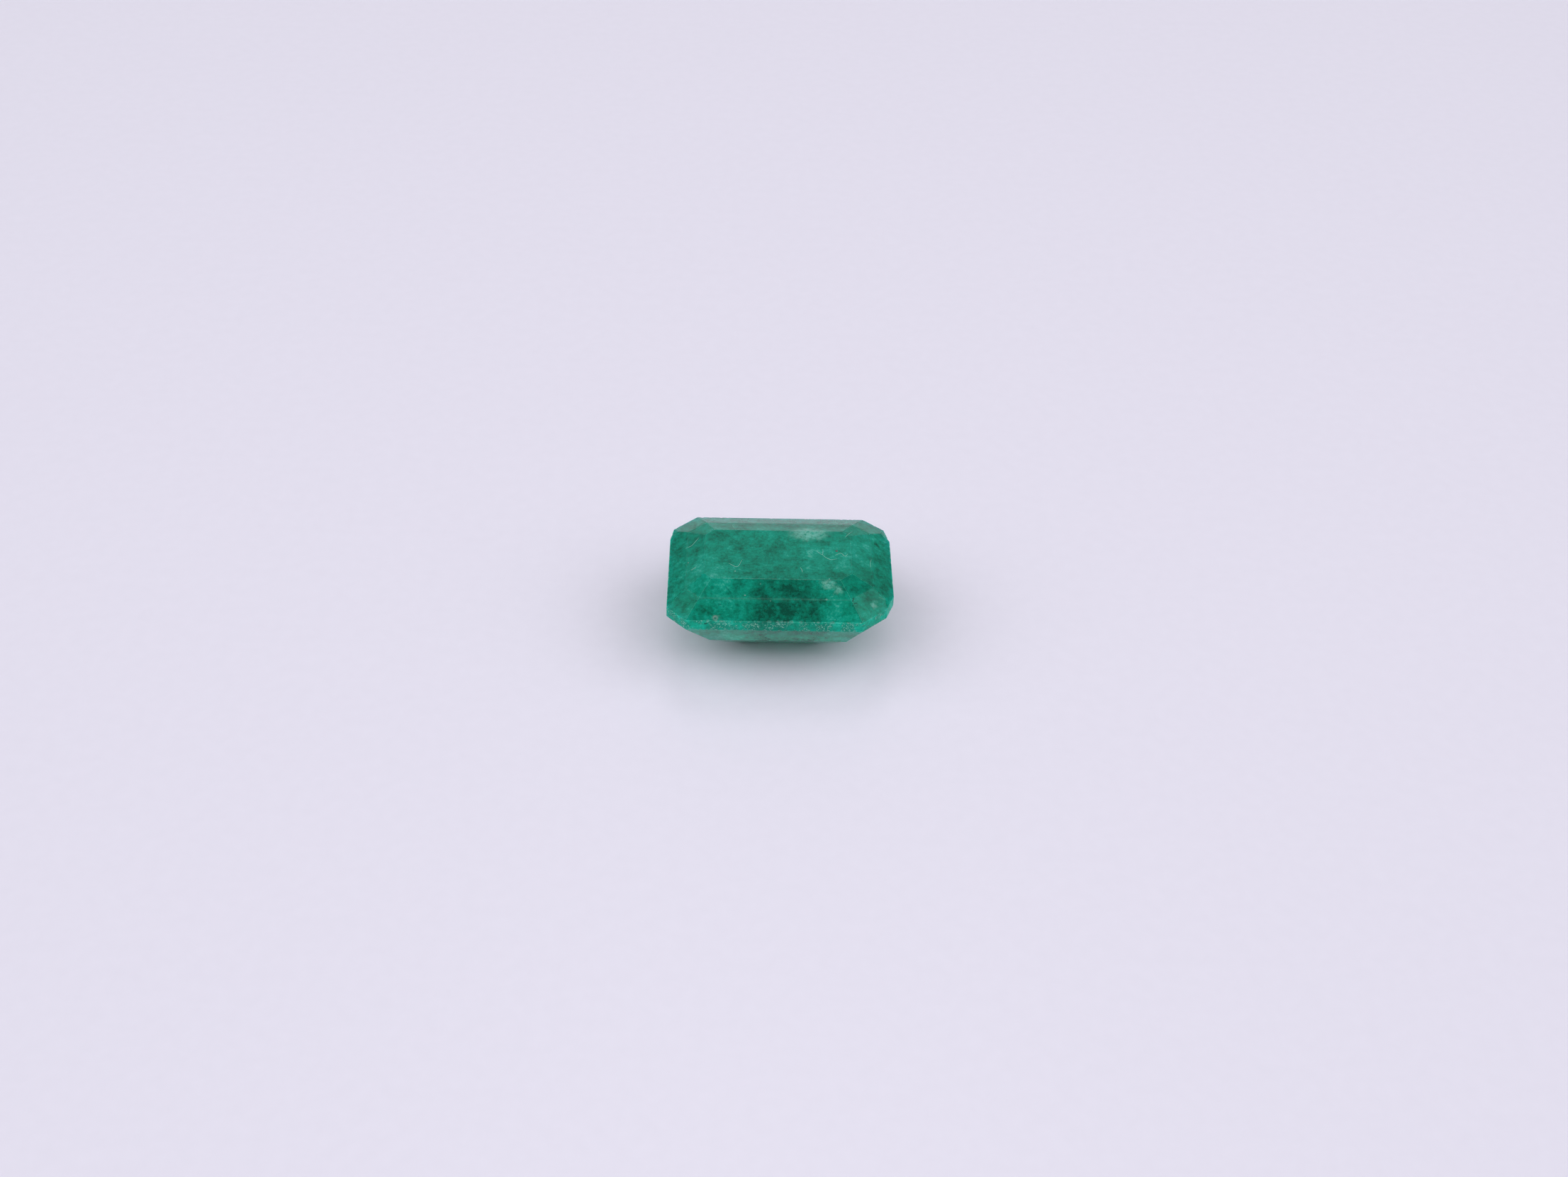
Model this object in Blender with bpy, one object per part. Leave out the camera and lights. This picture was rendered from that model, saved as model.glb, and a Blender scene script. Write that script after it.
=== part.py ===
"""A cut and polished emerald, octagonal step cut, standing on its culet with the table level.

The stone is shaped as a cutter shapes it. A block of rough is cut by one plane after another:
the upright girdle first, then the steps of the crown and of the pavilion, the table and the
culet. Each plane faces a direction round the stone, leans by a slope and stands at a reach from
the upright axis. Length runs along X, width along Y, and Z is up from the culet.
"""

import math
from dataclasses import dataclass

import bmesh
import bpy
from mathutils import Vector

MM = 0.001

# Driving dimensions, in millimetres. The steps are listed outward from the girdle.
LENGTH = 12.0
WIDTH = 8.8
GIRDLE_THICKNESS = 0.58
CROWN_RISES = (0.565, 0.415)
PAVILION_DROPS = (1.48, 1.15, 1.25)
ROUGH_MARGIN = 1.0

# Slopes from level, in degrees, of the crown steps and then of the pavilion steps.
SIDE_CROWN = (25.2, 19.9)
LEFT_END_CROWN = (30.0, 23.8)
RIGHT_END_CROWN = (27.0, 20.2)
WORN_CROWN = (36.0, 30.0)
MAIN_PAVILION = (59.6, 43.5, 42.5)
WORN_PAVILION = (54.0, 43.0, 42.0)

# Deep bluish green where the stone shows its body colour, and the polish of its facets.
BODY_GREEN = (0.006, 0.130, 0.078, 1.0)
POLISH_ROUGHNESS = 0.12
BERYL_IOR = 1.58
CLEARNESS = 0.6

HALF_LENGTH = LENGTH / 2
HALF_WIDTH = WIDTH / 2
GIRDLE_FOOT = sum(PAVILION_DROPS)
GIRDLE_TOP = GIRDLE_FOOT + GIRDLE_THICKNESS
HEIGHT = GIRDLE_TOP + sum(CROWN_RISES)
UP = Vector((0.0, 0.0, 1.0))


@dataclass(frozen=True)
class Facet:
    """One column of facets round the stone, from the table down to the culet.

    turn: degrees from +X, anticlockwise seen from above, that its girdle flat faces.
    reach: millimetres from the axis to that flat.
    crown, pavilion: the slopes of its steps, outward from the girdle.
    """

    turn: float
    reach: float
    crown: tuple
    pavilion: tuple


@dataclass(frozen=True)
class Corner:
    """A cut corner of the outline. The stone was cut by eye, so the four differ a little.

    side_x, side_y: 1 or -1, the sides of the axes that the corner is on.
    cut: how far the corner facet runs along the long side and along the end.
    worn: the same for the small facet worn between it and the end, or (0, 0) for none.
    """

    side_x: int
    side_y: int
    cut: tuple
    worn: tuple
    crown: tuple
    pavilion: tuple


CORNERS = (
    Corner(-1, -1, (1.01, 1.03), (0.0, 0.0), (23.0, 18.4), (44.5, 40.5, 38.5)),
    Corner(1, -1, (1.30, 1.14), (0.41, 1.07), (23.5, 18.7), (52.0, 41.0, 39.0)),
    Corner(1, 1, (1.10, 0.92), (0.30, 1.03), (23.0, 18.0), (52.0, 41.0, 39.0)),
    Corner(-1, 1, (1.26, 1.13), (0.18, 0.89), (24.5, 19.6), (44.5, 40.5, 38.5)),
)


def flat_through(start, end):
    """The turn and the reach of the upright flat through two points of the outline."""
    run = (end - start).normalized()
    outward = Vector((run.y, -run.x))
    if outward.dot(start) < 0:
        outward.negate()
    return math.degrees(math.atan2(outward.y, outward.x)), outward.dot(start)


def corner_facets(corner):
    """The facet across a corner and, where it is worn, the small facet beside it."""
    worn_in, worn_along = corner.worn
    on_side = Vector((corner.side_x * (HALF_LENGTH - worn_in - corner.cut[0]), corner.side_y * HALF_WIDTH))
    meet_y = HALF_WIDTH - corner.cut[1]
    meet = Vector((corner.side_x * (HALF_LENGTH - worn_in), corner.side_y * meet_y))
    facets = [Facet(*flat_through(on_side, meet), corner.crown, corner.pavilion)]
    if worn_along > 0:
        on_end = Vector((corner.side_x * HALF_LENGTH, corner.side_y * (meet_y - worn_along)))
        facets.append(Facet(*flat_through(meet, on_end), WORN_CROWN, WORN_PAVILION))
    return facets


def all_facets():
    """Every column of facets round the stone."""
    facets = [
        Facet(0.0, HALF_LENGTH, RIGHT_END_CROWN, MAIN_PAVILION),
        Facet(90.0, HALF_WIDTH, SIDE_CROWN, MAIN_PAVILION),
        Facet(180.0, HALF_LENGTH, LEFT_END_CROWN, MAIN_PAVILION),
        Facet(270.0, HALF_WIDTH, SIDE_CROWN, MAIN_PAVILION),
    ]
    for corner in CORNERS:
        facets += corner_facets(corner)
    return facets


def cut_plane(stone, point, outward):
    """Cuts away what lies outward of a plane, and closes the stone with the new facet."""
    geometry = stone.verts[:] + stone.edges[:] + stone.faces[:]
    cut = bmesh.ops.bisect_plane(
        stone, geom=geometry, dist=1e-8, plane_co=point * MM, plane_no=outward, clear_outer=True
    )
    rim = [item for item in cut["geom_cut"] if isinstance(item, bmesh.types.BMEdge)]
    if len(rim) > 2:
        bmesh.ops.contextual_create(stone, geom=rim)


def cut_facet(stone, turn, reach, height, slope, side):
    """Cuts one facet through the level line at this reach and height.

    slope: degrees from level. side: 1 above the girdle and -1 below it.
    """
    around = math.radians(turn)
    lean = math.radians(slope)
    facing = Vector((math.cos(around), math.sin(around), 0.0))
    outward = facing * math.sin(lean) + UP * side * math.cos(lean)
    cut_plane(stone, facing * reach + UP * height, outward)


def cut_steps(stone, facet, height, rises, slopes, side):
    """Cuts the steps of one column of facets, outward from the girdle."""
    reach = facet.reach
    for rise, slope in zip(rises, slopes):
        cut_facet(stone, facet.turn, reach, height, slope, side)
        reach -= rise / math.tan(math.radians(slope))
        height += side * rise


def rough_block():
    """The block of rough, a little larger than the finished stone."""
    stone = bmesh.new()
    bmesh.ops.create_cube(stone, size=1.0)
    size = Vector((LENGTH + ROUGH_MARGIN, WIDTH + ROUGH_MARGIN, HEIGHT + ROUGH_MARGIN))
    bmesh.ops.scale(stone, vec=size * MM, verts=stone.verts)
    bmesh.ops.translate(stone, vec=UP * HEIGHT / 2 * MM, verts=stone.verts)
    return stone


def cut_stone():
    """The finished stone: girdle, crown, pavilion, table and culet."""
    stone = rough_block()
    for facet in all_facets():
        cut_facet(stone, facet.turn, facet.reach, 0.0, 90.0, 1)
        cut_steps(stone, facet, GIRDLE_TOP, CROWN_RISES, facet.crown, 1)
        cut_steps(stone, facet, GIRDLE_FOOT, PAVILION_DROPS, facet.pavilion, -1)
    cut_plane(stone, UP * HEIGHT, UP)
    cut_plane(stone, UP * 0.0, -UP)
    bmesh.ops.remove_doubles(stone, verts=stone.verts, dist=1e-6)
    bmesh.ops.recalc_face_normals(stone, faces=stone.faces)
    return stone


def polished_emerald():
    """Polished beryl, deep green and partly clear."""
    material = bpy.data.materials.new("polished_emerald")
    material.use_nodes = True
    shader = material.node_tree.nodes["Principled BSDF"]
    shader.inputs["Base Color"].default_value = BODY_GREEN
    shader.inputs["Roughness"].default_value = POLISH_ROUGHNESS
    shader.inputs["Metallic"].default_value = 0.0
    shader.inputs["IOR"].default_value = BERYL_IOR
    shader.inputs["Transmission Weight"].default_value = CLEARNESS
    return material


def main():
    """Clears the scene and leaves the one stone in it."""
    for thing in list(bpy.data.objects):
        bpy.data.objects.remove(thing)
    mesh = bpy.data.meshes.new("emerald")
    stone = cut_stone()
    stone.to_mesh(mesh)
    stone.free()
    mesh.materials.append(polished_emerald())
    bpy.context.scene.collection.objects.link(bpy.data.objects.new("emerald", mesh))


main()
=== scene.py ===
"""Dresses the cut emerald: its worn facets, its cloudy body, its marks and the lint on its table."""

import logging
import math
import random
from dataclasses import dataclass, field
from enum import Enum
from typing import Any

import bmesh
import bpy
import numpy as np
from mathutils import Matrix, Vector, noise
from mathutils.bvhtree import BVHTree
from mathutils.geometry import delaunay_2d_cdt


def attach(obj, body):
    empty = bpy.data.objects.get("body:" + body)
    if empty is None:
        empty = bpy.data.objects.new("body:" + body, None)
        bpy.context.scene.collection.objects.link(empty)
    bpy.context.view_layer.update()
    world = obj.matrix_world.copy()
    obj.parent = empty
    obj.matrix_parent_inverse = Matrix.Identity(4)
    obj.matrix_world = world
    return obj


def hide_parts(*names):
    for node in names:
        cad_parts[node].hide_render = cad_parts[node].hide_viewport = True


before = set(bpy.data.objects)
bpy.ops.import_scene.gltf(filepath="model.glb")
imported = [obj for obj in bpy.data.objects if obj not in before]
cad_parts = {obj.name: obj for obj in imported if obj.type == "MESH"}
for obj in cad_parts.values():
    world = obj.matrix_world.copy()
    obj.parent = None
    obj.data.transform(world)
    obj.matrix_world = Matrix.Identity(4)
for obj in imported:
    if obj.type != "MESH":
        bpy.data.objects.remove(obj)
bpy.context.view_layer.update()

LOG = logging.getLogger("emerald")
MM = 0.001
Colour = tuple[float, float, float, float]
Pixel = tuple[float, float]
Tree = bpy.types.NodeTree
Socket = bpy.types.NodeSocket

# The rows of a grid of nearly equal-sided triangles, as a share of its spacing.
ROW_RISE = 0.87
# What the triangulation keeps: the triangles inside the outline.
INSIDE_ONLY = 1


def linear(hex_colour: str) -> Colour:
    """Turn an sRGB hex colour into the linear values that a shader takes.

    Args:
        hex_colour: Six hex digits, such as "1F8A6A".

    Returns:
        Linear red, green and blue, and an alpha of 1.
    """
    parts = [int(hex_colour[i : i + 2], 16) / 255 for i in (0, 2, 4)]
    red, green, blue = (p / 12.92 if p <= 0.04045 else ((p + 0.055) / 1.055) ** 2.4 for p in parts)
    return red, green, blue, 1.0


def add_node(
    tree: Tree, kind: str, links: dict[str | int, Any] | None = None, **settings: Any
) -> bpy.types.Node:
    """Add a node with its settings and its links.

    Args:
        tree: The node tree that takes the node.
        kind: The node's type name, such as "ShaderNodeTexNoise".
        links: Input name or number to the socket that feeds it, or to a plain value.
        **settings: The node's own properties, such as operation="SCALE".

    Returns:
        The new node.
    """
    node = tree.nodes.new(kind)
    for name, value in settings.items():
        setattr(node, name, value)
    for name, value in (links or {}).items():
        socket = node.inputs[name]
        if isinstance(value, bpy.types.NodeSocket):
            tree.links.new(value, socket)
        else:
            socket.default_value = value
    return node


def new_material(name: str) -> tuple[bpy.types.Material, Tree, bpy.types.Node]:
    """Make a material with an empty principled shader.

    Args:
        name: The material's name.

    Returns:
        The material, its node tree and its shader.
    """
    material = bpy.data.materials.new(name)
    material.use_nodes = True
    tree = material.node_tree
    return material, tree, tree.nodes["Principled BSDF"]


@dataclass(frozen=True)
class MarkLook:
    """How one kind of mark looks.

    Attributes:
        tint: Its colour.
        strength: How much of the body it covers, from 0 to 1.
        softness: How wide its edge is, as a share of its radius.
        laced: Whether the body shows through it in a fine lace.
    """

    tint: str
    strength: float
    softness: float
    laced: bool = False


class MarkKind(Enum):
    """What a mark on the stone is, and how that kind looks."""

    MILK = MarkLook("A2F2DE", strength=0.85, softness=0.5, laced=True)
    FLUFF = MarkLook("A2F2DE", strength=0.75, softness=0.6, laced=True)
    FLAKE = MarkLook("8A6670", strength=0.8, softness=0.2)
    SPOT = MarkLook("022A20", strength=0.7, softness=0.5)


@dataclass(frozen=True)
class Mark:
    """One inclusion that shows at the surface.

    Attributes:
        kind: What the mark is.
        pixel: Where the photograph's 2212 x 1661 frame shows its middle.
        length: Millimetres along X.
        width: Millimetres along Y.
    """

    kind: MarkKind
    pixel: Pixel
    length: float
    width: float


@dataclass(frozen=True)
class PhotoView:
    """The photograph's camera.

    Attributes:
        frame_width: Pixels across the photograph's frame.
        frame_height: Pixels down it.
        focal_pixels: The focal length in pixels of that frame.
        sensor_width: Millimetres across the sensor.
        target: The point that it looks at, in metres.
        distance: Metres from the eye to that point.
        elevation: Degrees that it looks down.
        azimuth: Degrees that it looks from +Y towards +X.
        roll: Degrees that the image is rolled.
        target_pixel: Where the target shows in the frame.
        nearest_seen: Metres within which nothing is drawn.
    """

    frame_width: int = 2212
    frame_height: int = 1661
    focal_pixels: float = 2800.0
    sensor_width: float = 36.0
    target: tuple[float, float, float] = (0.0, 0.0, 2.7 * MM)
    distance: float = 107.8 * MM
    elevation: float = 40.0
    azimuth: float = 1.63
    roll: float = 1.95
    target_pixel: Pixel = (1099.7, 838.0)
    nearest_seen: float = 5.0 * MM

    def axes(self) -> tuple[Vector, Vector, Vector]:
        """Work out where the camera points.

        Returns:
            The unit vectors to the image's right, to its top and into the view.
        """
        turn, rise, roll = (math.radians(a) for a in (self.azimuth, self.elevation, self.roll))
        into = Vector((math.sin(turn) * math.cos(rise), math.cos(turn) * math.cos(rise), -math.sin(rise)))
        level = Vector((math.cos(turn), -math.sin(turn), 0.0))
        top = level.cross(into)
        right = level * math.cos(roll) + top * math.sin(roll)
        return right, right.cross(into), into

    def eye(self) -> Vector:
        """Give the camera's place."""
        return Vector(self.target) - self.axes()[2] * self.distance

    def direction(self, pixel: Pixel) -> Vector:
        """Find the way from the eye through a pixel.

        Args:
            pixel: A pixel of the photograph's frame.

        Returns:
            The unit vector of that way.
        """
        right, top, into = self.axes()
        across = (pixel[0] - self.target_pixel[0]) / self.focal_pixels
        down = (pixel[1] - self.target_pixel[1]) / self.focal_pixels
        return (into + right * across - top * down).normalized()

    def build(self) -> None:
        """Make the camera and set it as the scene's."""
        data = bpy.data.cameras.new("photo_camera")
        data.sensor_fit = "HORIZONTAL"
        data.sensor_width = self.sensor_width
        data.lens = self.focal_pixels / self.frame_width * self.sensor_width
        data.shift_x = (self.frame_width / 2 - self.target_pixel[0]) / self.frame_width
        data.shift_y = (self.target_pixel[1] - self.frame_height / 2) / self.frame_width
        data.clip_start = self.nearest_seen
        camera = bpy.data.objects.new("photo_camera", data)
        right, top, into = self.axes()
        turned = Matrix((right, top, -into)).transposed().to_4x4()
        camera.matrix_world = Matrix.Translation(self.eye()) @ turned
        bpy.context.scene.collection.objects.link(camera)
        bpy.context.scene.camera = camera


@dataclass(frozen=True)
class Layer:
    """One layer of clouds or grains in the stone.

    Attributes:
        size: Millimetres across a cloud.
        weight: How strongly it acts. In the body's clouds it is how much they lighten or darken.
        detail: How many finer layers it has.
        raggedness: How strong the finer layers are, from 0 to 1.
        twist: How strongly it is drawn out into wisps.
    """

    size: float
    weight: float
    detail: float
    raggedness: float
    twist: float


@dataclass(frozen=True)
class Specks:
    """Grains that show where the grit of the stone is strong.

    Attributes:
        low: The grit at which a grain starts to show.
        high: The grit at which it shows in full.
        strength: How clearly it shows there, from 0 to 1.
    """

    low: float
    high: float
    strength: float


@dataclass(frozen=True)
class PolishedBeryl:
    """Beryl coloured by chromium, sawn and polished by hand on a flat wheel.

    To the eye it is a deep bluish green body full of clouds, veils and specks, which lets some of
    the light through, under a weak and slightly waxy sheen. Polished beryl reflects more than
    this: the sheen is kept low because the photograph shows no reflection on the table. The haze
    stands for the light that the clouds scatter inside. Real polishing marks and the smallest
    inclusions are too fine for a picture, so the grit and the grain are drawn coarser. Sizes are
    millimetres.

    Attributes:
        body: The body from its darkest to its palest, as places on a ramp with their colours.
        speck: The colour of pale specks, chips and fine lines.
        shade: The colour of dark spots and fine cracks.
        frost: The colour of the frosted girdle.
        layers: The body's clouds, from the largest to the smallest.
        tear: How the marks' outlines are torn. Its weight is in millimetres.
        lace: The lace through which the body shows in milky marks.
        lace_band: The lace at which a mark starts to show and at which it shows in full.
        grit: The noise that the specks are drawn from.
        groups: The noise that gathers the girdle's specks into groups.
        group_band: The noise at which a group starts and at which it is full.
        frost_least: How frosted the girdle is between the groups, from 0 to 1.
        frost_more: How much more frosted it is in a group.
        girdle_specks: The specks on the girdle.
        edge_specks: The specks on worn edges.
        body_specks: The specks all over.
        ior: The refractive index, a typical one for beryl.
        sheen: The strength of the surface's reflection, where 0.5 is the typical one.
        clearness: The share of the light that goes through.
        frosting: The share of the clearness that the frosted girdle lacks.
        haze: The share of the scattered light that travels inside first.
        haze_reach: How far red, green and blue travel there.
        polish: The roughness of the polished facets.
        wear_roughness: How much rougher worn edges and the girdle are.
        absorbed: The colour that is left of white light inside.
        absorption_per_metre: How densely the body absorbs.
        grain: The unevenness of the polish. Its weight is the strength of the relief.
        grain_depth: How deep that relief is.
        painted_shade_middle: The middle along X of the painted shade, a darker patch behind the front
            facets.
        painted_shade_half_length: Half its length.
        painted_shade_edge: How soft its ends are.
        painted_shade_front: Where it starts along Y.
        painted_shade_front_edge: How softly it starts there.
        painted_shade_darkness: How much darker the painted shade makes the body.
        painted_shade_tear: How its ends are torn. Its weight is in millimetres.
    """

    body: tuple[tuple[float, str], ...] = (
        (0.26, "056350"), (0.40, "07957A"), (0.50, "0AAE90"), (0.60, "16C4A7"), (0.76, "66DFC9"),
    )
    speck: str = "BFEBDD"
    shade: str = "022A20"
    frost: str = "10806A"
    layers: tuple[Layer, ...] = (
        Layer(size=2.1, weight=0.45, detail=3.0, raggedness=0.55, twist=0.1),
        Layer(size=0.62, weight=0.72, detail=6.0, raggedness=0.68, twist=0.0),
        Layer(size=0.17, weight=0.6, detail=4.0, raggedness=0.75, twist=0.0),
    )
    tear: Layer = Layer(size=1 / 2.4, weight=0.75, detail=5.0, raggedness=0.65, twist=0.0)
    lace: Layer = Layer(size=0.2, weight=1.0, detail=5.0, raggedness=0.75, twist=0.0)
    lace_band: tuple[float, float] = (0.3, 0.58)
    grit: Layer = Layer(size=0.075, weight=1.0, detail=3.0, raggedness=0.6, twist=0.0)
    groups: Layer = Layer(size=0.55, weight=1.0, detail=2.0, raggedness=0.5, twist=0.0)
    group_band: tuple[float, float] = (0.42, 0.58)
    frost_least: float = 0.25
    frost_more: float = 0.55
    girdle_specks: Specks = Specks(low=0.5, high=0.7, strength=0.5)
    edge_specks: Specks = Specks(low=0.52, high=0.66, strength=0.1)
    body_specks: Specks = Specks(low=0.7, high=0.78, strength=0.5)
    ior: float = 1.58
    sheen: float = 0.06
    clearness: float = 0.55
    frosting: float = 0.9
    haze: float = 0.5
    haze_reach: tuple[float, float, float] = (0.25, 5.0, 4.2)
    polish: float = 0.1
    wear_roughness: float = 0.3
    absorbed: Colour = (0.10, 0.90, 0.84, 1.0)
    absorption_per_metre: float = 420.0
    grain: Layer = Layer(size=0.09, weight=0.1, detail=2.0, raggedness=0.5, twist=0.0)
    grain_depth: float = 0.01
    # Painted shade: a darker patch behind the middle of the front facets, for the shadowed floor seen
    # through the stone.
    painted_shade_middle: float = 0.35
    painted_shade_half_length: float = 1.75
    painted_shade_edge: float = 0.6
    painted_shade_front: float = -2.0
    painted_shade_front_edge: float = 0.12
    painted_shade_darkness: float = 0.13
    painted_shade_tear: Layer = Layer(size=0.9, weight=1.2, detail=3.0, raggedness=0.6, twist=0.0)

    def millimetres(self, tree: Tree) -> Socket:
        """Measure places on the stone.

        Args:
            tree: The material's node tree.

        Returns:
            The place on the stone in millimetres.
        """
        place = add_node(tree, "ShaderNodeTexCoord")
        links = {0: place.outputs["Object"], "Scale": 1 / MM}
        return add_node(tree, "ShaderNodeVectorMath", links, operation="SCALE").outputs[0]

    def weighted(self, tree: Tree, value: Any, weight: Any, rest: Any) -> Socket:
        """Multiply a value by a weight and add the rest."""
        links = {0: value, 1: weight, 2: rest}
        return add_node(tree, "ShaderNodeMath", links, operation="MULTIPLY_ADD").outputs[0]

    def times(self, tree: Tree, one: Any, two: Any) -> Socket:
        """Multiply two masks."""
        return add_node(tree, "ShaderNodeMath", {0: one, 1: two}, operation="MULTIPLY").outputs[0]

    def between(self, tree: Tree, value: Any, low: float, high: float) -> Socket:
        """Map a value smoothly onto 0 to 1.

        Args:
            tree: The material's node tree.
            value: The value.
            low: What becomes 0.
            high: What becomes 1.

        Returns:
            The mapped value.
        """
        links = {"Value": value, "From Min": low, "From Max": high}
        ramp = add_node(tree, "ShaderNodeMapRange", links, interpolation_type="SMOOTHSTEP")
        return ramp.outputs["Result"]

    def over(self, tree: Tree, under: Any, colour: str, mask: Any) -> Socket:
        """Lay a colour over another where a mask says so."""
        mix = add_node(tree, "ShaderNodeMix", {0: mask, 6: under, 7: linear(colour)}, data_type="RGBA")
        return mix.outputs[2]

    def noise(self, tree: Tree, place: Any, layer: Layer, output: str = "Fac") -> Socket:
        """Give the noise of one layer, about 0.5 on average."""
        links = {
            "Vector": place, "Scale": 1 / layer.size, "Detail": layer.detail,
            "Roughness": layer.raggedness, "Distortion": layer.twist,
        }
        return add_node(tree, "ShaderNodeTexNoise", links).outputs[output]

    def cloudiness(self, tree: Tree, place: Socket) -> Socket:
        """Add up the layers of clouds, and lay the painted shade over the middle of the front facets.

        Args:
            tree: The material's node tree.
            place: The place in millimetres.

        Returns:
            How pale the body is, about 0.5 on average.
        """
        total = 0.5 - sum(layer.weight for layer in self.layers) / 2
        for layer in self.layers:
            total = self.weighted(tree, self.noise(tree, place, layer), layer.weight, total)
        # Painted shade: the middle behind the front facets is darkened, as if the shadowed floor showed
        # through.
        return self.weighted(tree, self.painted_shade_mask(tree, place), -self.painted_shade_darkness, total)

    def painted_shade_mask(self, tree: Tree, place: Socket) -> Socket:
        """Make the mask of the painted shade behind the middle of the front facets.

        It darkens the body where the shadowed floor shows through the stone.

        Args:
            tree: The material's node tree.
            place: The place in millimetres.

        Returns:
            The mask.
        """
        along = add_node(tree, "ShaderNodeSeparateXYZ", {0: place}).outputs
        off = add_node(tree, "ShaderNodeMath", {0: along["X"], 1: self.painted_shade_middle}, operation="SUBTRACT")
        away = add_node(tree, "ShaderNodeMath", {0: off.outputs[0]}, operation="ABSOLUTE").outputs[0]
        torn = self.weighted(tree, self.noise(tree, place, self.painted_shade_tear), self.painted_shade_tear.weight, away)
        end = self.painted_shade_half_length + self.painted_shade_tear.weight / 2
        within = self.between(tree, torn, end + self.painted_shade_edge, end - self.painted_shade_edge)
        front = self.between(tree, along["Y"], self.painted_shade_front, self.painted_shade_front - self.painted_shade_front_edge)
        return self.times(tree, within, front)

    def patch(self, tree: Tree, place: Any, mark: Mark, middle: Vector) -> Socket:
        """Make the mask of one mark, with a soft edge.

        Args:
            tree: The material's node tree.
            place: The place in millimetres, already torn.
            mark: The mark.
            middle: Its middle in metres.

        Returns:
            The mask.
        """
        soft = mark.kind.value.softness
        links = {0: place, 1: middle / MM}
        shift = add_node(tree, "ShaderNodeVectorMath", links, operation="SUBTRACT").outputs[0]
        links = {0: shift, 1: (2 / mark.length, 2 / mark.width, 2 / mark.width)}
        stretch = add_node(tree, "ShaderNodeVectorMath", links, operation="MULTIPLY").outputs[0]
        away = add_node(tree, "ShaderNodeVectorMath", {0: stretch}, operation="LENGTH").outputs["Value"]
        return self.between(tree, away, 1.0 + soft, 1.0 - soft)

    def material(self, marks: list[tuple[Mark, Vector]]) -> bpy.types.Material:
        """Make the stone's material.

        Args:
            marks: Each mark with its middle on the stone, in metres.

        Returns:
            The material.
        """
        material, tree, shader = new_material("hand_polished_emerald")
        place = self.millimetres(tree)
        ramp = add_node(tree, "ShaderNodeValToRGB", {"Fac": self.cloudiness(tree, place)})
        stops = ramp.color_ramp.elements
        while len(stops) < len(self.body):
            stops.new(0.5)
        for stop, (position, colour) in zip(stops, self.body):
            stop.position = position
            stop.color = linear(colour)
        colour = self.lay_marks(tree, place, ramp.outputs["Color"], marks)
        colour = self.lay_traces(tree, place, colour)
        tree.links.new(colour, shader.inputs["Base Color"])
        self.surface(tree, place, shader)
        return material

    def lay_marks(self, tree: Tree, place: Any, colour: Any, marks: list[tuple[Mark, Vector]]) -> Socket:
        """Lay the single marks over the body.

        Args:
            tree: The material's node tree.
            place: The place in millimetres.
            colour: The colour under them.
            marks: Each mark with its middle on the stone, in metres.

        Returns:
            The colour with the marks.
        """
        links = {0: self.noise(tree, place, self.tear, "Color"), 1: (self.tear.weight,) * 3, 2: place}
        moved = add_node(tree, "ShaderNodeVectorMath", links, operation="MULTIPLY_ADD").outputs[0]
        links = {0: moved, 1: (self.tear.weight / 2,) * 3}
        torn = add_node(tree, "ShaderNodeVectorMath", links, operation="SUBTRACT").outputs[0]
        lace = self.between(tree, self.noise(tree, place, self.lace), *self.lace_band)
        for mark, middle in marks:
            look = mark.kind.value
            mask = self.times(tree, self.patch(tree, torn, mark, middle), look.strength)
            if look.laced:
                mask = self.times(tree, mask, lace)
            colour = self.over(tree, colour, look.tint, mask)
        return colour

    def lay_traces(self, tree: Tree, place: Any, colour: Any) -> Socket:
        """Lay on the frosted girdle, the specks, and the fine pale and dark traces.

        Args:
            tree: The material's node tree.
            place: The place in millimetres.
            colour: The colour under them.

        Returns:
            The colour with the traces.
        """
        girdle, wear, pale, dark = (
            add_node(tree, "ShaderNodeAttribute", attribute_name=name).outputs["Fac"]
            for name in ("girdle", "wear", "pale", "dark")
        )
        grit = self.noise(tree, place, self.grit)
        groups = self.between(tree, self.noise(tree, place, self.groups), *self.group_band)
        frosted = self.times(tree, girdle, self.weighted(tree, groups, self.frost_more, self.frost_least))
        colour = self.over(tree, colour, self.frost, frosted)
        wheres = {
            self.girdle_specks: self.times(tree, groups, girdle),
            self.edge_specks: wear,
            self.body_specks: 1.0,
        }
        for specks, where in wheres.items():
            shown = self.times(tree, self.between(tree, grit, specks.low, specks.high), specks.strength)
            colour = self.over(tree, colour, self.speck, self.times(tree, shown, where))
        colour = self.over(tree, colour, self.speck, pale)
        return self.over(tree, colour, self.shade, dark)

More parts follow.
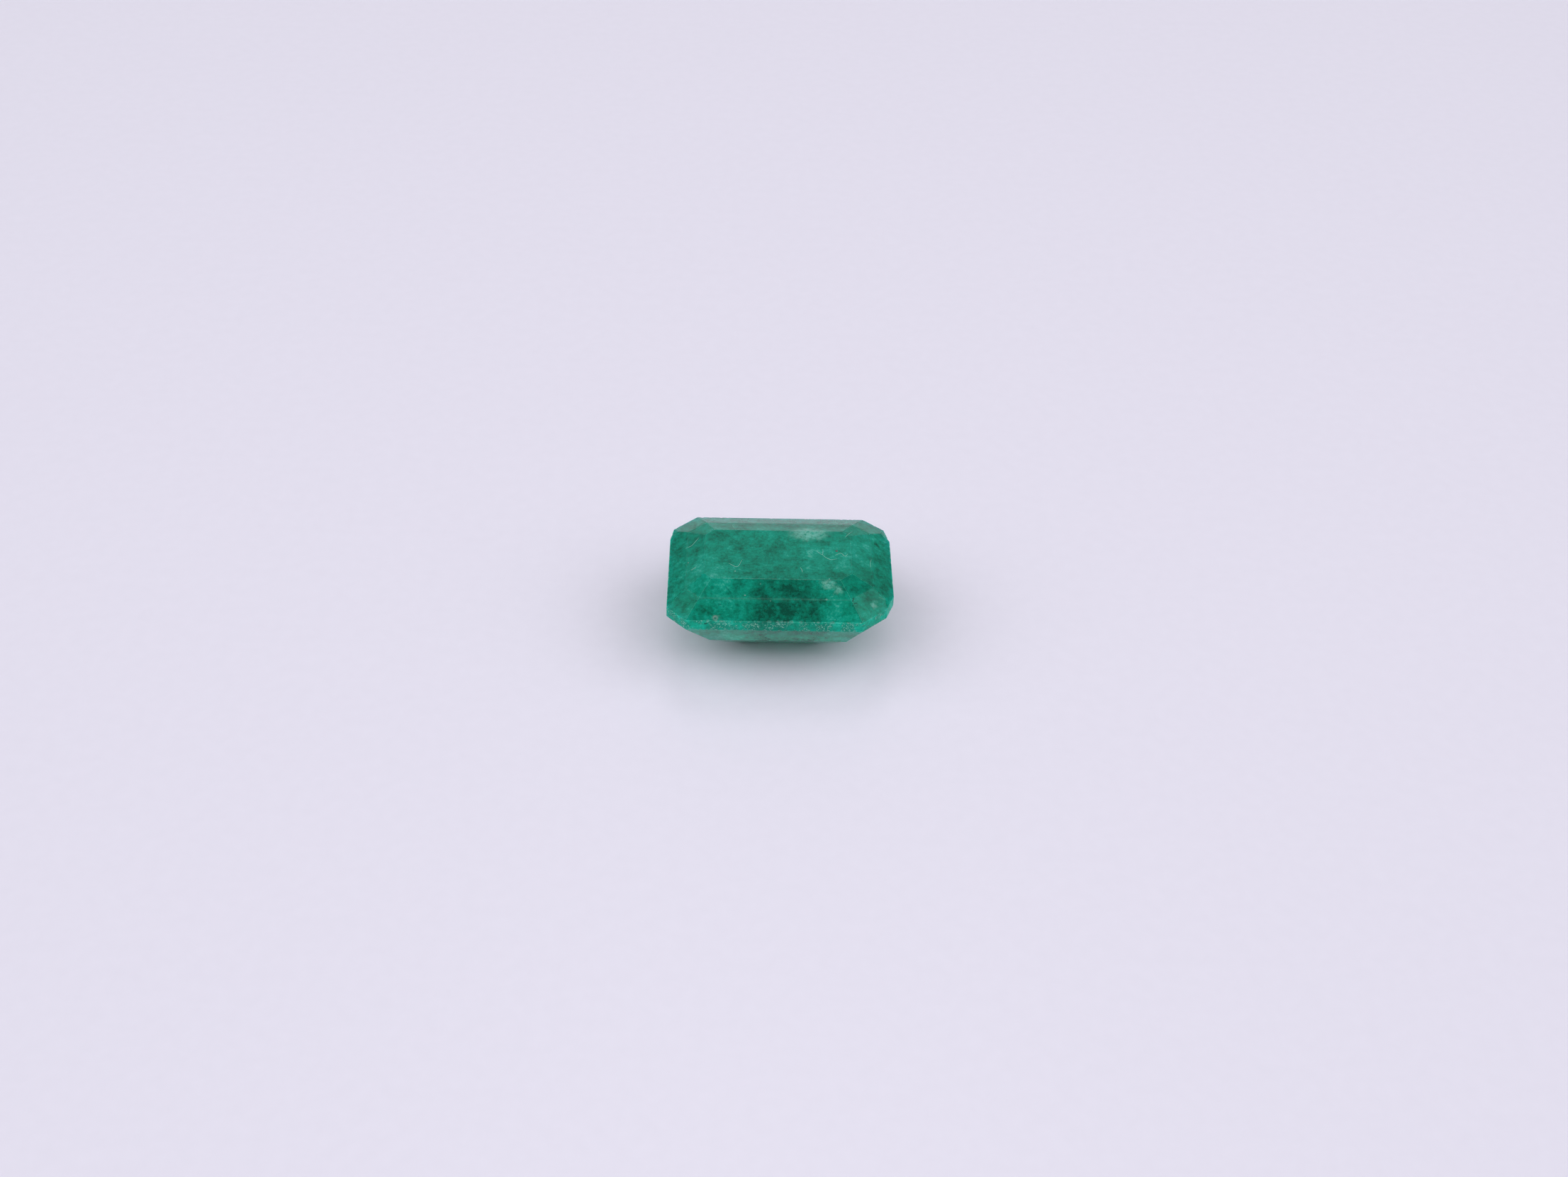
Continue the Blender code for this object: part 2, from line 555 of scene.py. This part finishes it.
    def surface(self, tree: Tree, place: Socket, shader: bpy.types.Node) -> None:
        """Set the polish, the clearness, the haze and what the body absorbs.

        Args:
            tree: The material's node tree.
            place: The place in millimetres.
            shader: The material's shader.
        """
        girdle, wear = (
            add_node(tree, "ShaderNodeAttribute", attribute_name=name).outputs["Fac"]
            for name in ("girdle", "wear")
        )
        worn = self.weighted(tree, wear, self.wear_roughness, self.polish)
        tree.links.new(self.weighted(tree, girdle, self.wear_roughness, worn), shader.inputs["Roughness"])
        links = {
            "Height": self.noise(tree, place, self.grain),
            "Strength": self.grain.weight, "Distance": self.grain_depth * MM,
        }
        relief = add_node(tree, "ShaderNodeBump", links)
        tree.links.new(relief.outputs["Normal"], shader.inputs["Normal"])
        shader.inputs["IOR"].default_value = self.ior
        shader.inputs["Specular IOR Level"].default_value = self.sheen
        clear = self.weighted(tree, girdle, -self.frosting * self.clearness, self.clearness)
        tree.links.new(clear, shader.inputs["Transmission Weight"])
        shader.inputs["Subsurface Weight"].default_value = self.haze
        shader.inputs["Subsurface Radius"].default_value = self.haze_reach
        shader.inputs["Subsurface Scale"].default_value = MM
        links = {"Color": self.absorbed, "Density": self.absorption_per_metre}
        inside = add_node(tree, "ShaderNodeVolumeAbsorption", links)
        tree.links.new(inside.outputs["Volume"], tree.nodes["Material Output"].inputs["Volume"])


@dataclass(frozen=True)
class CottonLint:
    """Cotton lint, shed and settled from the air: pale, dull fibres a few hundredths of a mm thick.

    Attributes:
        pale: The colour of its paler stretches.
        dim: The colour of its dimmer stretches, where the green below shines through.
        band_length: Millimetres from one such stretch to the next.
        fineness: How many finer layers the stretches have.
        roughness: How dull it is.
    """

    pale: str = "A5D6C8"
    dim: str = "5FAF9B"
    band_length: float = 0.4
    fineness: float = 2.0
    roughness: float = 0.85

    def material(self) -> bpy.types.Material:
        """Make the lint's material.

        Returns:
            The material.
        """
        material, tree, shader = new_material("settled_cotton_lint")
        place = add_node(tree, "ShaderNodeTexCoord").outputs["Object"]
        links = {"Vector": place, "Scale": 1 / (self.band_length * MM), "Detail": self.fineness}
        bands = add_node(tree, "ShaderNodeTexNoise", links).outputs["Fac"]
        ramp = add_node(tree, "ShaderNodeValToRGB", {"Fac": bands})
        ramp.color_ramp.elements[0].color = linear(self.dim)
        ramp.color_ramp.elements[1].color = linear(self.pale)
        tree.links.new(ramp.outputs["Color"], shader.inputs["Base Color"])
        shader.inputs["Roughness"].default_value = self.roughness
        return material


@dataclass(frozen=True)
class CoatedPaper:
    """Coated paper, calendered smooth: an even lavender white with a faint soft gloss.

    Attributes:
        white: Its colour.
        shade: Its colour where it is a little darker.
        fibre_size: Millimetres across such a place.
        fineness: How many finer layers those places have.
        gloss_roughness: How soft its gloss is.
        gloss: The strength of its gloss, where 0.5 is the typical one.
    """

    white: str = "EBE8F3"
    shade: str = "E7E4EF"
    fibre_size: float = 0.8
    fineness: float = 3.0
    gloss_roughness: float = 0.35
    gloss: float = 0.3

    def material(self) -> bpy.types.Material:
        """Make the paper's material.

        Returns:
            The material.
        """
        material, tree, shader = new_material("calendered_coated_paper")
        place = add_node(tree, "ShaderNodeTexCoord").outputs["Object"]
        links = {"Vector": place, "Scale": 1 / (self.fibre_size * MM), "Detail": self.fineness}
        fibres = add_node(tree, "ShaderNodeTexNoise", links).outputs["Fac"]
        ramp = add_node(tree, "ShaderNodeValToRGB", {"Fac": fibres})
        ramp.color_ramp.elements[0].color = linear(self.shade)
        ramp.color_ramp.elements[1].color = linear(self.white)
        tree.links.new(ramp.outputs["Color"], shader.inputs["Base Color"])
        shader.inputs["Roughness"].default_value = self.gloss_roughness
        shader.inputs["Specular IOR Level"].default_value = self.gloss
        return material


class TraceKind(Enum):
    """What a small trace on the stone is."""

    PALE = "pale"
    DARK = "dark"
    CHIP = "chip"
    CRATER = "crater"


@dataclass(frozen=True)
class Trace:
    """A speck, a fine line, a chip or a crater.

    Attributes:
        kind: What the trace is.
        route: Where it runs in the photograph's frame, or one point.
        width: Millimetres across it.
        depth: Millimetres that it goes into the stone.
        strength: How clearly its colour shows, from 0 to 1.
    """

    kind: TraceKind
    route: tuple[Pixel, ...]
    width: float
    depth: float = 0.0
    strength: float = 0.8


@dataclass(frozen=True)
class Dab:
    """One round piece of a trace, placed on the stone.

    Attributes:
        trace: The trace that it is part of.
        place: Its middle, in millimetres.
    """

    trace: Trace
    place: tuple[float, float, float]


@dataclass
class CutStone:
    """The stone itself: the flat facets of the solid, worn and chipped at their edges.

    Attributes:
        spacing: Millimetres between the mesh's points in the middle of a facet.
        edge_spacing: Millimetres between its points along an edge.
        rows: Millimetres from an edge at which rows of points run beside it.
        grid_margin: How far the grid keeps from an edge, as a share of the last row's distance.
        row_margin: How far a row keeps from the other edges, as a share of its own distance.
        rings: The rings of points round a dab, as a share of its radius and a number of points.
        closest: Millimetres that two points keep apart.
        joined: Millimetres within which the triangulation takes two points for one.
        edge_round: Millimetres that wear takes off a sharp edge.
        wear_size: Millimetres over which the wear comes and goes.
        wear_swing: How much it comes and goes, as a share of the mean.
        wear_range: The least and the most wear, as a share of the mean.
        settling: How many times the points are moved onto the worn surface.
        wave_height: Millimetres that a hand-held facet strays from flat.
        wave_size: Millimetres from one such wave to the next.
        flatness: Degrees within which two triangles are one facet.
        chip_gap: Millimetres from one chip of the girdle to the next, on average.
        chip_width: The least and the most millimetres across a chip.
        chip_depth: The least and the most depth of a chip, as a share of its width.
        chip_strength: How pale a chip is, from 0 to 1.
        dab_reach: The radii from a dab's middle within which it acts.
        hollow: The power that rounds a hollow's edge off.
        crater_rim: How far a crater's pale rim is from its middle, in radii.
        crater_rim_width: How wide that rim is, in radii.
        girdle_fade: Millimetres over which the girdle's frosting ends.
        bare: How pale a point may be before it is shaded as it lies.
        seed: Sets the random draw of the chips.
        finish: The stone's finish.
        marks: The inclusions that show at the surface.
        traces: The specks, lines and pits that show at the surface.
    """

    spacing: float = 0.2
    edge_spacing: float = 0.07
    rows: tuple[float, ...] = (0.012, 0.035, 0.08)
    grid_margin: float = 1.5
    row_margin: float = 0.9
    rings: tuple[tuple[float, int], ...] = ((0.0, 1), (0.4, 6), (0.75, 9), (1.1, 11))
    closest: float = 0.008
    joined: float = 1e-5
    edge_round: float = 0.003
    wear_size: float = 0.7
    wear_swing: float = 1.2
    wear_range: tuple[float, float] = (0.5, 2.0)
    settling: int = 3
    wave_height: float = 0.0015
    wave_size: float = 1.6
    flatness: float = 0.5
    chip_gap: float = 0.45
    chip_width: tuple[float, float] = (0.06, 0.2)
    chip_depth: tuple[float, float] = (0.15, 0.3)
    chip_strength: float = 0.22
    dab_reach: float = 1.5
    hollow: float = 1.5
    crater_rim: float = 0.8
    crater_rim_width: float = 0.3
    girdle_fade: float = 0.05
    bare: float = 0.02
    seed: int = 7
    finish: PolishedBeryl = field(default_factory=PolishedBeryl)
    marks: tuple[Mark, ...] = (
        Mark(MarkKind.MILK, (1141, 752), 1.8, 1.1),
        Mark(MarkKind.FLUFF, (1169, 825), 0.72, 0.5),
        Mark(MarkKind.FLUFF, (1184, 833), 0.4, 0.5),
        Mark(MarkKind.FLUFF, (1233, 852), 0.3, 0.4),
        Mark(MarkKind.FLAKE, (1182, 777), 0.2, 0.2),
        Mark(MarkKind.SPOT, (1237, 769), 0.25, 0.35),
    )
    traces: tuple[Trace, ...] = (
        Trace(TraceKind.CRATER, ((1009, 872),), 0.27, depth=0.04, strength=0.35),
        Trace(TraceKind.PALE, ((1051, 840),), 0.09),
        Trace(TraceKind.PALE, ((1037, 806),), 0.09),
        Trace(TraceKind.PALE, ((971, 794),), 0.08),
        Trace(TraceKind.PALE, ((1170, 817),), 0.08),
        Trace(TraceKind.PALE, ((1166, 846),), 0.12, strength=0.6),
        Trace(TraceKind.PALE, ((1087, 848),), 0.07, strength=0.6),
        Trace(TraceKind.PALE, ((1073, 824),), 0.06, strength=0.7),
        Trace(TraceKind.PALE, ((1096, 878), (1100, 882)), 0.1, strength=0.25),
        Trace(TraceKind.PALE, ((1240, 843), (1248, 846)), 0.06, strength=0.2),
        Trace(TraceKind.PALE, ((976, 804), (981, 801)), 0.12, strength=0.4),
        Trace(TraceKind.DARK, ((1204, 844), (1203, 849)), 0.07),
        Trace(TraceKind.DARK, ((1205, 852), (1209, 851)), 0.07, strength=0.7),
        Trace(TraceKind.DARK, ((1203, 855),), 0.08, strength=0.6),
        Trace(TraceKind.DARK, ((994, 880), (997, 880)), 0.09, strength=0.9),
        Trace(TraceKind.DARK, ((1115, 856),), 0.13, strength=0.5),
        Trace(TraceKind.DARK, ((982, 848),), 0.12, strength=0.5),
        Trace(TraceKind.DARK, ((983, 861),), 0.12, strength=0.4),
        Trace(TraceKind.DARK, ((1037, 817),), 0.1, strength=0.5),
        Trace(TraceKind.DARK, ((1014, 853), (1017, 853)), 0.09, strength=0.4),
        Trace(TraceKind.DARK, ((1024, 828), (1032, 838)), 0.12, strength=0.3),
    )

    def facets(self) -> bmesh.types.BMesh:
        """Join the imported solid's triangles into its facets.

        Returns:
            The facets, in metres.
        """
        cut = bmesh.new()
        cut.from_mesh(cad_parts["emerald"].data)
        bmesh.ops.remove_doubles(cut, verts=cut.verts, dist=0.001 * MM)
        bend = math.radians(self.flatness)
        bmesh.ops.dissolve_limit(cut, angle_limit=bend, verts=cut.verts, edges=cut.edges)
        cut.normal_update()
        return cut

    def traced(self, cut: bmesh.types.BMesh, view: PhotoView) -> list[Dab]:
        """Place the traces that the photograph shows.

        Args:
            cut: The facets.
            view: The photograph's camera.

        Returns:
            The dabs that make up the traces.
        """
        surface = BVHTree.FromBMesh(cut)
        dabs = []
        for trace in self.traces:
            hits = [surface.ray_cast(view.eye(), view.direction(pixel))[0] / MM for pixel in trace.route]
            dabs.append(Dab(trace, tuple(hits[0])))
            for start, end in zip(hits, hits[1:]):
                steps = math.ceil((end - start).length / (trace.width / 3))
                dabs += [Dab(trace, tuple(start.lerp(end, (i + 1) / steps))) for i in range(steps)]
        return dabs

    def chipped(self, cut: bmesh.types.BMesh) -> list[Dab]:
        """Scatter small chips along the girdle's two edges.

        Args:
            cut: The facets.

        Returns:
            One dab for each chip.
        """
        draw = random.Random(self.seed)
        upright = [f for f in cut.faces if abs(f.normal.z) < math.radians(self.flatness)]
        level = self.spacing * MM
        rims = {e for f in upright for e in f.edges if abs((e.verts[0].co - e.verts[1].co).z) < level}
        dabs = []
        for rim in sorted(rims, key=lambda e: tuple(round(v, 7) for v in (e.verts[0].co + e.verts[1].co))):
            start, end = (vert.co / MM for vert in rim.verts)
            for _ in range(round((end - start).length / self.chip_gap)):
                width = draw.uniform(*self.chip_width)
                depth = width * draw.uniform(*self.chip_depth)
                chip = Trace(TraceKind.CHIP, (), width, depth, self.chip_strength)
                dabs.append(Dab(chip, tuple(start.lerp(end, draw.random()))))
        return dabs

    def scattered(self, corners: np.ndarray, dabs: list[tuple[np.ndarray, float]]) -> np.ndarray:
        """Scatter points in a convex facet: a grid, rows along its edges, and rings round the dabs.

        Args:
            corners: The facet's corners, anticlockwise, in millimetres.
            dabs: The middle and the radius of each dab on the facet.

        Returns:
            The points.
        """
        ahead = np.roll(corners, -1, axis=0) - corners
        runs = np.linalg.norm(ahead, axis=1)
        ahead /= runs[:, None]
        inward = np.stack([-ahead[:, 1], ahead[:, 0]], 1)
        low, high = corners.min(0), corners.max(0)
        columns = np.arange(low[0], high[0], self.spacing)
        x, y = np.meshgrid(columns, np.arange(low[1], high[1], self.spacing * ROW_RISE))
        x[1::2] += self.spacing / 2
        groups = [(np.stack([x.ravel(), y.ravel()], 1), self.rows[-1] * self.grid_margin)]
        for offset in self.rows:
            for corner, way, inner, run in zip(corners, ahead, inward, runs):
                count = max(2, round(run / max(self.edge_spacing, offset)))
                steps = (np.arange(count) + 0.5) / count * run
                row = corner + way * steps[:, None] + inner * offset
                groups.append((row, offset * self.row_margin))
        for middle, radius in dabs:
            for share, count in self.rings:
                turns = np.arange(count) / count * 2 * math.pi
                ring = np.stack([np.cos(turns), np.sin(turns)], 1) * radius * share
                groups.append((middle + ring, self.closest))
        kept = [g[((g[:, None] - corners) * inward).sum(2).min(1) > margin] for g, margin in groups]
        points = np.concatenate(kept)
        apart = np.unique(np.round(points / self.closest), axis=0, return_index=True)[1]
        return points[np.sort(apart)]

    def edge_points(self, cut: bmesh.types.BMesh) -> tuple[list[Vector], list[list[int]]]:
        """Divide the facets' edges, so that two facets share the points of the edge between them.

        Args:
            cut: The facets.

        Returns:
            The points in millimetres, and the numbers of the points along each edge.
        """
        cut.verts.index_update()
        cut.edges.index_update()
        points = [vert.co / MM for vert in cut.verts]
        rows = []
        for edge in cut.edges:
            start, end = (vert.co / MM for vert in edge.verts)
            steps = max(1, round((end - start).length / self.edge_spacing))
            first = len(points)
            points += [start.lerp(end, i / steps) for i in range(1, steps)]
            rows.append([edge.verts[0].index, *range(first, len(points)), edge.verts[1].index])
        return points, rows

    def covered(
        self, facet: bmesh.types.BMFace, rim: list[int], points: list[Vector], dabs: list[Dab]
    ) -> list[tuple[int, ...]]:
        """Cover one facet with triangles.

        Args:
            facet: The facet.
            rim: The numbers of the points round it, anticlockwise.
            points: All points so far, in millimetres. The facet's inner points are added.
            dabs: The dabs.

        Returns:
            The triangles.
        """
        origin = points[rim[0]]
        across = (facet.loops[1].vert.co - facet.loops[0].vert.co).normalized()
        up = facet.normal.cross(across)

        def laid(point: Vector) -> tuple[float, float]:
            """Lay a point into the facet's plane."""
            return (point - origin).dot(across), (point - origin).dot(up)

        corners = np.array([laid(loop.vert.co / MM) for loop in facet.loops])
        near = []
        for dab in dabs:
            middle, radius = Vector(dab.place), dab.trace.width / 2
            if abs((middle - origin).dot(facet.normal)) < radius:
                near.append((np.array(laid(middle)), radius))
        flat = [Vector(laid(points[i])) for i in rim]
        flat += [Vector(point) for point in self.scattered(corners, near)]
        made = delaunay_2d_cdt(flat, [], [list(range(len(rim)))], INSIDE_ONLY, self.joined)
        places, _, faces, sources = made[:4]
        numbers = []
        for place, given in zip(places, sources):
            shared = [i for i in given if i < len(rim)]
            numbers.append(rim[shared[0]] if shared else len(points))
            if not shared:
                points.append(origin + across * place.x + up * place.y)
        triangles = [tuple(numbers[i] for i in face) for face in faces]
        return [t for t in triangles if len(set(t)) == 3]

    def meshed(self, cut: bmesh.types.BMesh, dabs: list[Dab]) -> tuple[np.ndarray, list[tuple[int, ...]]]:
        """Cover all facets with triangles that are fine along the edges and round the dabs.

        Args:
            cut: The facets.
            dabs: The dabs.

        Returns:
            The points in millimetres, and the triangles.
        """
        points, rows = self.edge_points(cut)
        triangles = []
        for facet in cut.faces:
            rim = []
            for loop in facet.loops:
                row = rows[loop.edge.index]
                rim += (row if row[0] == loop.vert.index else row[::-1])[:-1]
            triangles += self.covered(facet, rim, points, dabs)
        return np.array(points), triangles

    def worn(
        self, points: np.ndarray, normals: np.ndarray, reach: np.ndarray
    ) -> tuple[np.ndarray, ...]:
        """Wear the edges between the facets' planes.

        Args:
            points: The mesh's points, in millimetres.
            normals: The outward direction of each facet.
            reach: Each facet's distance from the origin, in millimetres.

        Returns:
            The worn points, their outward directions and how worn each is, from 0 to 1.
        """
        lumps = np.array([noise.noise(Vector(p) / self.wear_size) for p in points])
        size = self.edge_round * np.clip(1.0 + self.wear_swing * lumps, *self.wear_range)[:, None]
        waves = np.array([noise.noise(Vector(p) / self.wave_size) for p in points]) * self.wave_height
        for _ in range(self.settling):
            height = points @ normals.T - reach
            share = np.exp((height - height.max(1, keepdims=True)) / size)
            total = share.sum(1, keepdims=True)
            level = height.max(1) + size[:, 0] * np.log(total[:, 0]) + np.abs(waves)
            outward = (share / total) @ normals
            steep = (outward**2).sum(1)
            points = points - outward * (level / steep)[:, None]
        # In the middle of an edge each of its two facets has half a share, which is fully worn.
        worn = np.clip((1.0 - share.max(1) / total[:, 0]) * 2, 0, 1)
        return points, outward / np.sqrt(steep)[:, None], worn

    def dabbed(self, points: np.ndarray, outward: np.ndarray, dabs: list[Dab]) -> dict[str, np.ndarray]:
        """Press the chips and craters in, and colour the traces.

        Args:
            points: The mesh's points, in millimetres, which are changed.
            outward: Their outward directions.
            dabs: The dabs.

        Returns:
            How pale and how dark each point is, from 0 to 1.
        """
        colours = {"pale": np.zeros(len(points)), "dark": np.zeros(len(points))}
        flat = points.copy()
        pressed = np.zeros(len(points))
        for dab in dabs:
            trace = dab.trace
            away = np.linalg.norm(flat - dab.place, axis=1) / (trace.width / 2)
            near = np.flatnonzero(away < self.dab_reach)
            away = away[near]
            inside = np.clip(1.0 - away**2, 0.0, 1.0)
            pressed[near] = np.maximum(pressed[near], trace.depth * inside**self.hollow)
            tone = "dark" if trace.kind is TraceKind.DARK else "pale"
            shown = {
                TraceKind.PALE: np.sqrt(inside),
                TraceKind.DARK: np.sqrt(inside),
                TraceKind.CHIP: inside,
                TraceKind.CRATER: np.exp(-(((away - self.crater_rim) / self.crater_rim_width) ** 2)),
            }[trace.kind]
            colours[tone][near] = np.maximum(colours[tone][near], trace.strength * shown)
        points -= outward * pressed[:, None]
        return colours

    def build(self, view: PhotoView) -> bpy.types.Object:
        """Make the stone and dress it.

        Args:
            view: The photograph's camera, which places the marks.

        Returns:
            The stone.
        """
        cut = self.facets()
        normals = np.array([f.normal for f in cut.faces], float)
        reach = np.array([f.normal.dot(f.verts[0].co) for f in cut.faces], float) / MM
        seen = BVHTree.FromBMesh(cut)
        dabs = self.traced(cut, view) + self.chipped(cut)
        upright = np.abs(normals[:, 2]) < math.radians(self.flatness)
        points, triangles = self.meshed(cut, dabs)
        cut.free()
        on_girdle = (points @ normals[upright].T - reach[upright]).max(1)
        points, outward, wear = self.worn(points, normals, reach)
        shades = self.dabbed(points, outward, dabs)
        shades |= {"wear": wear, "girdle": np.clip(1.0 + on_girdle / self.girdle_fade, 0.0, 1.0)}
        mesh = bpy.data.meshes.new("step_cut_emerald")
        mesh.from_pydata((points * MM).tolist(), [], triangles)
        mesh.shade_smooth()
        mesh.update()
        self.shade(mesh, outward, shades["pale"])
        for name, values in shades.items():
            mesh.attributes.new(name, "FLOAT", "POINT").data.foreach_set("value", values.astype(np.float32))
        placed = [(mark, seen.ray_cast(view.eye(), view.direction(mark.pixel))[0]) for mark in self.marks]
        mesh.materials.append(self.finish.material(placed))
        stone = bpy.data.objects.new("step_cut_emerald", mesh)
        bpy.context.scene.collection.objects.link(stone)
        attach(stone, "root")
        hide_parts("emerald")
        LOG.info("stone: %d facets, %d triangles", len(normals), len(mesh.polygons))
        return stone

    def shade(self, mesh: bpy.types.Mesh, outward: np.ndarray, pale: np.ndarray) -> None:
        """Shade the facets flat and their edges round, and leave the chips as they lie.

        Args:
            mesh: The stone's mesh.
            outward: The worn surface's outward directions.
            pale: How pale each point is. Chips and craters are pale.
        """
        lying = np.zeros(len(outward) * 3, np.float32)
        mesh.vertex_normals.foreach_get("vector", lying)
        chip = (pale > self.bare)[:, None]
        chosen = np.where(chip, lying.reshape(-1, 3), outward)
        mesh.normals_split_custom_set_from_vertices([Vector(n) for n in chosen])


@dataclass
class LintFibres:
    """The lint on the table and the ends, each fibre a thin bent thread.

    Attributes:
        thickness: Millimetres across a fibre.
        sides: How many sides it has.
        steps: How many pieces it has from one knot to the next.
        lift: Millimetres from the stone to its middle.
        end_share: How thick its ends are, as a share of its middle.
        routes: Where each fibre runs in the photograph's frame.
        finish: The lint's finish.
    """

    thickness: float = 0.022
    sides: int = 6
    steps: int = 6
    lift: float = 0.012
    end_share: float = 0.35
    routes: tuple[tuple[Pixel, ...], ...] = (
        ((967, 774), (976, 770), (986, 759)),
        ((1028, 795), (1040, 800), (1047, 790)),
        ((1152, 778), (1160, 783), (1161, 775)),
        ((1160, 783), (1165, 787), (1172, 790), (1181, 789)),
        ((1178, 784), (1186, 781), (1192, 785), (1196, 782)),
        ((1129, 801), (1131, 804), (1132, 808)),
        ((1229, 790), (1227.5, 795), (1228, 801)),
        ((1192, 759), (1197, 754), (1203, 750)),
        ((1033, 741), (1035, 745), (1038, 748)),
    )
    finish: CottonLint = field(default_factory=CottonLint)

    def path(self, knots: list[Vector]) -> list[Vector]:
        """Run a smooth curve through the knots.

        Args:
            knots: The places that the fibre passes, in metres.

        Returns:
            Points along the curve.
        """
        ends = [knots[0] * 2 - knots[1], *knots, knots[-1] * 2 - knots[-2]]
        points = []
        for a, b, c, d in zip(ends, ends[1:], ends[2:], ends[3:]):
            for step in range(self.steps):
                t = step / self.steps
                bend = 2 * a - 5 * b + 4 * c - d
                swing = 3 * b - a - 3 * c + d
                points.append(0.5 * (2 * b + (c - a) * t + bend * t**2 + swing * t**3))
        return [*points, knots[-1]]

    def thread(self, made: bmesh.types.BMesh, points: list[Vector], up: Vector) -> None:
        """Draw a closed tube that thins to its ends.

        Args:
            made: The mesh that takes it.
            points: The points along it, in metres.
            up: The way out of the stone there.
        """
        rings = []
        for i, point in enumerate(points):
            along = (points[min(i + 1, len(points) - 1)] - points[max(i - 1, 0)]).normalized()
            side = along.cross(up).normalized()
            rise = side.cross(along)
            swell = math.sin(math.pi * i / (len(points) - 1)) ** 0.5
            taper = self.end_share + (1 - self.end_share) * swell
            radius = self.thickness / 2 * MM * taper
            ring = []
            for k in range(self.sides):
                turn = 2 * math.pi * k / self.sides
                ring.append(made.verts.new(point + (side * math.cos(turn) + rise * math.sin(turn)) * radius))
            rings.append(ring)
        for one, two in zip(rings, rings[1:]):
            for k in range(self.sides):
                made.faces.new((one[k], one[k - 1], two[k - 1], two[k]))
        made.faces.new(rings[0])
        made.faces.new(reversed(rings[-1]))

    def build(self, view: PhotoView, stone: bpy.types.Object) -> None:
        """Lay the fibres on the stone.

        Args:
            view: The photograph's camera.
            stone: The stone that carries them.
        """
        surface = BVHTree.FromObject(stone, bpy.context.evaluated_depsgraph_get())
        made = bmesh.new()
        for route in self.routes:
            hits = [surface.ray_cast(view.eye(), view.direction(pixel)) for pixel in route]
            knots = [hit[0] + hit[1] * self.lift * MM for hit in hits]
            self.thread(made, self.path(knots), hits[0][1])
        bmesh.ops.recalc_face_normals(made, faces=made.faces)
        mesh = bpy.data.meshes.new("lint_fibres")
        made.to_mesh(mesh)
        made.free()
        mesh.shade_smooth()
        mesh.materials.append(self.finish.material())
        lint = bpy.data.objects.new("lint_fibres", mesh)
        bpy.context.scene.collection.objects.link(lint)
        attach(lint, "root")
        LOG.info("lint: %d fibres", len(self.routes))


@dataclass(frozen=True)
class Glow:
    """One soft bright part of the dome.

    Attributes:
        turn: Degrees from +Y towards +X.
        rise: Degrees above the floor.
        full: Degrees from its middle within which it is at its brightest.
        end: Degrees from its middle at which it ends.
        strength: How bright it is.
    """

    turn: float
    rise: float
    full: float
    end: float
    strength: float

    def middle(self) -> Vector:
        """Give the direction of its middle."""
        turn, rise = math.radians(self.turn), math.radians(self.rise)
        return Vector((math.sin(turn) * math.cos(rise), math.cos(turn) * math.cos(rise), math.sin(rise)))


@dataclass
class Studio:
    """The pale floor and the dim dome with its soft bright parts.

    Attributes:
        floor_size: Metres along the floor's sides.
        sky: The colour of the dome.
        dimmest: The strength of the dome's dim part.
        glows: The dome's bright parts.
        paper: The floor's finish.
    """

    floor_size: float = 3.0
    sky: str = "F6F5FA"
    dimmest: float = 0.12
    glows: tuple[Glow, ...] = (
        Glow(turn=-110, rise=46, full=8, end=40, strength=2.1),
        Glow(turn=110, rise=46, full=8, end=40, strength=2.1),
        Glow(turn=180, rise=60, full=4, end=21, strength=2.6),
        Glow(turn=0, rise=61, full=4, end=13, strength=2.6),
        Glow(turn=0, rise=24, full=12, end=40, strength=0.26),
    )
    paper: CoatedPaper = field(default_factory=CoatedPaper)

    def floor(self) -> None:
        """Lay the floor."""
        half = self.floor_size / 2
        mesh = bpy.data.meshes.new("floor")
        corners = [(-half, -half, 0), (half, -half, 0), (half, half, 0), (-half, half, 0)]
        mesh.from_pydata(corners, [], [(0, 1, 2, 3)])
        mesh.materials.append(self.paper.material())
        floor = bpy.data.objects.new("floor", mesh)
        bpy.context.scene.collection.objects.link(floor)

    def dome(self) -> bpy.types.World:
        """Make the dome of light.

        Returns:
            The world.
        """
        world = bpy.data.worlds.new("soft_dome")
        world.use_nodes = True
        tree = world.node_tree
        way = add_node(tree, "ShaderNodeTexCoord").outputs["Generated"]
        strength = self.dimmest
        for glow in self.glows:
            links = {0: way, 1: glow.middle()}
            facing = add_node(tree, "ShaderNodeVectorMath", links, operation="DOT_PRODUCT").outputs["Value"]
            edge, bright = (math.cos(math.radians(angle)) for angle in (glow.end, glow.full))
            links = {"Value": facing, "From Min": edge, "From Max": bright, "To Max": glow.strength}
            share = add_node(tree, "ShaderNodeMapRange", links, interpolation_type="SMOOTHSTEP")
            links = {0: share.outputs["Result"], 1: strength}
            strength = add_node(tree, "ShaderNodeMath", links, operation="ADD").outputs[0]
        background = tree.nodes["Background"]
        background.inputs["Color"].default_value = linear(self.sky)
        tree.links.new(strength, background.inputs["Strength"])
        return world

    def build(self) -> None:
        """Set up the floor and the dome."""
        self.floor()
        bpy.context.scene.world = self.dome()
        bpy.context.scene.view_settings.view_transform = "Standard"


def main() -> None:
    """Build the camera, the stone, its lint and the studio."""
    logging.basicConfig(level=logging.INFO)
    view = PhotoView()
    view.build()
    stone = CutStone().build(view)
    LintFibres().build(view, stone)
    Studio().build()


if __name__ == "__main__":
    main()
